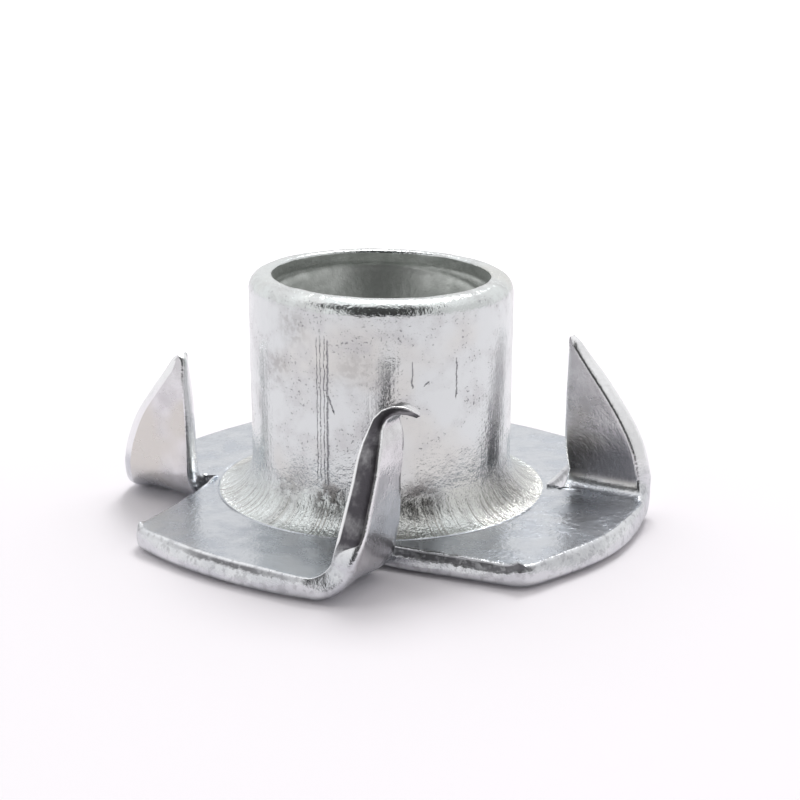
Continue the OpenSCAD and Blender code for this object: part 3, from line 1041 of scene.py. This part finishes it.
striped, wander = along_edge(6.0, 1.6), along_edge(2.6, 1.0)
on_leg = ramp(tree, leg, 0.27, 0.36)
wide = maths(tree, "MULTIPLY", on_leg, ramp(tree, how_torn_and_dark, 0.4, 0.9))
rough_from = maths(tree, "MULTIPLY_ADD", maths(tree, "SUBTRACT", wander, 0.5), 0.32, 0.82)
rough_from = maths(tree, "MULTIPLY_ADD", how_torn_and_dark, -0.18, rough_from)
rough_from = maths(tree, "MULTIPLY", rough_from, maths(tree, "MULTIPLY_ADD", wide, -0.93, 1.0))
above = maths(tree, "MULTIPLY", maths(tree, "SUBTRACT", high, rough_from), 14.0, clamp=True)
below = ramp(tree, maths(tree, "MULTIPLY_ADD", wide, 0.07, high), 0.97, 0.9)
streaky = ramp(tree, plating["Grain"], 0.38, 0.52, 0.68, 1.0)
blotchy = ramp(tree, plating["Cloud"], 0.3, 0.55, 0.7, 1.0)
filled = maths(tree, "MULTIPLY_ADD", wide, maths(tree, "SUBTRACT", blotchy, streaky), streaky)
band = maths(tree, "MULTIPLY", maths(tree, "MULTIPLY", above, below), filled)
torn_band_painted_dark = maths(tree, "MULTIPLY", band, ramp(tree, how_torn_and_dark, 0.05, 0.55))
print("the torn band uses", len(tree.nodes), "nodes")

# %% [markdown]
# The torn band is laid over a bright zinc with dull specks, which on the prongs' edges is painted
# brighter still as a painted highlight. It is rougher than the burnished band, and it lies a
# little deeper.

# %% Colour and relief of the sheared edges
EDGE_PALE, EDGE_DULL, SPECK = (0.71, 0.72, 0.74), (0.58, 0.59, 0.62), (0.38, 0.38, 0.40)
# the dark torn colour of the rims is partly torn zinc and partly a painted reflection; that of the
# prongs is a painted reflection
LEG_PAINTED_HIGHLIGHT, TORN_RIM_PAINTED_DARKER, LEG_PAINTED_REFLECTION = (0.92, 0.92, 0.93), (0.19, 0.19, 0.20), (0.085, 0.08, 0.09)
base = colour_between(tree, ramp(tree, plating["Cloud"], 0.35, 0.7), EDGE_PALE, EDGE_DULL)
base = colour_between(tree, ramp(tree, plating["Grain"], 0.5, 0.66, 0.0, 0.5), base, SPECK)
# painted highlight: the prongs' sheared edges are painted brighter than zinc
base = colour_between(tree, maths(tree, "MULTIPLY", on_leg, 0.8), base, LEG_PAINTED_HIGHLIGHT)
# torn zinc, painted dark as a painted reflection, darkest on the prongs
torn_zinc_painted_dark = colour_between(tree, on_leg, TORN_RIM_PAINTED_DARKER, LEG_PAINTED_REFLECTION)
link(tree, colour_between(tree, torn_band_painted_dark, base, torn_zinc_painted_dark), shader.inputs["Base Color"])
link(tree, maths(tree, "MULTIPLY_ADD", torn_band_painted_dark, 0.2, 0.22), shader.inputs["Roughness"])
relief = maths(tree, "SUBTRACT", maths(tree, "MULTIPLY", striped,
                                       maths(tree, "MULTIPLY_ADD", how_torn_and_dark, 0.3, 0.12)),
               maths(tree, "MULTIPLY", torn_band_painted_dark, maths(tree, "MULTIPLY_ADD", wide, -0.8, 1.2)))
grainy = bump(tree, plating["Grain"], 0.00002, bump(tree, plating["Fine"], 0.000012))
link(tree, bump(tree, relief, 0.00003, grainy), shader.inputs["Normal"])
print(cut_mat.name, "has", len(tree.nodes), "nodes")

# %% [markdown]
# ### Hole
# Inside the hole the zinc is painted darker, as painted shade in the hole, and it is a little
# greener and much rougher than outside, so it does not mirror the studio. Then the finished nut
# takes the place of its CAD solid.

# %% The hole, and the finished nut
# the hole's zinc is painted darker, as painted shade, and a little greener
HOLE_SHADED_PALE, HOLE_SHADED_DULL = (0.56, 0.58, 0.56), (0.43, 0.45, 0.43)
hole_mat, tree, shader, vector, plating = zinc("zinc_thread")
link(tree, colour_between(tree, ramp(tree, plating["Cloud"], 0.3, 0.7), HOLE_SHADED_PALE, HOLE_SHADED_DULL),
     shader.inputs["Base Color"])
link(tree, ramp(tree, plating["Cloud"], 0.3, 0.7, 0.42, 0.55), shader.inputs["Roughness"])
link(tree, bump(tree, plating["Grain"], 0.00003), shader.inputs["Normal"])
for mat in (sheet_mat, drawn_mat, cut_mat, hole_mat):
    nut.data.materials.append(mat)
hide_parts("tee_nut")
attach(nut, "root")
print("materials:", [m.name for m in nut.data.materials])

# %% [markdown]
# ## Floor, light and camera
# Bright metal shows little but its surroundings, so the studio is built as much as lit: a pale
# floor, white all round, and a darker strip low on the camera's side, where the room would be.
# The floor takes the nut's shadow near by. Further off it turns to the white of the background,
# for the camera only, so that no more light falls on the nut.

# %% Floor
nothing_selected()
bpy.ops.mesh.primitive_plane_add(size=1.6, location=(0, 0.3, 0))
floor = bpy.context.object
floor.name = "floor"
mat = bpy.data.materials.new("floor")
mat.use_nodes = True
tree = mat.node_tree
shader = next(n for n in tree.nodes if n.type == "BSDF_PRINCIPLED")
shader.inputs["Base Color"].default_value = (0.93, 0.895, 0.93, 1)
shader.inputs["Roughness"].default_value = 0.6
shader.inputs["Specular IOR Level"].default_value = 0.2
xyz = node(tree, "ShaderNodeSeparateXYZ")
link(tree, node(tree, "ShaderNodeNewGeometry").outputs["Position"], xyz.inputs[0])
path = node(tree, "ShaderNodeLightPath")
FAR_FROM, FAR_TO = 0.004, 0.06      # metres behind the axis
far_off = ramp(tree, xyz.outputs["Y"], FAR_FROM, FAR_TO, 0.02, 0.5)
shader.inputs["Emission Color"].default_value = (1, 1, 1, 1)
link(tree, maths(tree, "MULTIPLY", far_off, path.outputs["Is Camera Ray"]),
     shader.inputs["Emission Strength"])
floor.data.materials.append(mat)
print("floor:", [round(side, 2) for side in floor.dimensions[:2]], "metres")

# %% [markdown]
# The world is a plain white that fades a little to the right and brightens overhead. The dark
# strip faces the nut from the camera's side: it gives the lip and the root their dark line, which
# is what tells the eye that they are round and polished.

# %% World
world = bpy.data.worlds.new("studio")
bpy.context.scene.world = world
world.use_nodes = True
tree = world.node_tree
back = next(n for n in tree.nodes if n.type == "BACKGROUND")
where = node(tree, "ShaderNodeTexCoord")
xyz = node(tree, "ShaderNodeSeparateXYZ")
link(tree, where.outputs["Generated"], xyz.inputs[0])
x, y, z = xyz.outputs
dark = maths(tree, "MULTIPLY", ramp(tree, y, -0.08, -0.26), ramp(tree, z, -0.06, 0.02))
left = maths(tree, "MULTIPLY_ADD", ramp(tree, z, 0.72, 0.5), -0.22, x)
sides = maths(tree, "MULTIPLY", ramp(tree, left, -0.82, -0.64), ramp(tree, x, 0.68, 0.44))
dark = maths(tree, "MULTIPLY", dark, sides)
level = maths(tree, "ADD", ramp(tree, x, -0.8, 0.9, 0.98, 0.76),
              ramp(tree, z, 0.4, 0.85, 0.0, 0.3))
strength = maths(tree, "MULTIPLY", level, maths(tree, "MULTIPLY_ADD", dark, -0.93, 1.0))
path = node(tree, "ShaderNodeLightPath")
shown = maths(tree, "MULTIPLY", path.outputs["Is Glossy Ray"], ramp(tree, y, 0.0, 0.3, 0.0, 0.97))
shown = maths(tree, "MAXIMUM", shown, path.outputs["Is Camera Ray"])
link(tree, maths(tree, "MAXIMUM", strength, shown), back.inputs["Strength"])
back.inputs["Color"].default_value = (1, 1, 1, 1)
print("world:", world.name, "with", len(tree.nodes), "nodes")

# %% [markdown]
# One soft square lamp hangs high behind the nut, so its shadow falls towards the camera.

# %% Lamp


def lamp(name, place, size, power, target=(0, 0, 0.004)):
    """A square soft lamp, turned to the nut. Its size is in metres and its power in watts."""
    nothing_selected()
    bpy.ops.object.light_add(type="AREA", location=place)
    made = bpy.context.object
    made.name = name
    made.data.size, made.data.energy = size, power
    made.rotation_euler = (Vector(target) - Vector(place)).to_track_quat("-Z", "Y").to_euler()
    return made


key = lamp("key", (0.03, 0.165, 0.255), 0.1, 0.37)
print("lamp:", key.name, round(key.location.length, 2), "metres away")

# %% [markdown]
# The camera stands close and low, and looks down on the nut by about 16 degrees.

# %% Camera
nothing_selected()
pitch, yaw, roll = math.radians(73.793), math.radians(-0.245), math.radians(0.171)
look = Matrix.Rotation(yaw, 4, "Z") @ Matrix.Rotation(pitch, 4, "X") @ Matrix.Rotation(roll, 4, "Z")
bpy.ops.object.camera_add(location=(0.556 * MM, -71.59 * MM, 25.83 * MM), rotation=look.to_euler())
camera = bpy.context.object
camera.data.sensor_width, camera.data.lens = 36.0, 72.9
camera.data.clip_start, camera.data.clip_end = 0.001, 10.0
bpy.context.scene.camera = camera
bpy.context.scene.view_settings.view_transform = "Standard"
print("camera:", round(camera.location.length * 1000), "mm from the foot of the barrel")
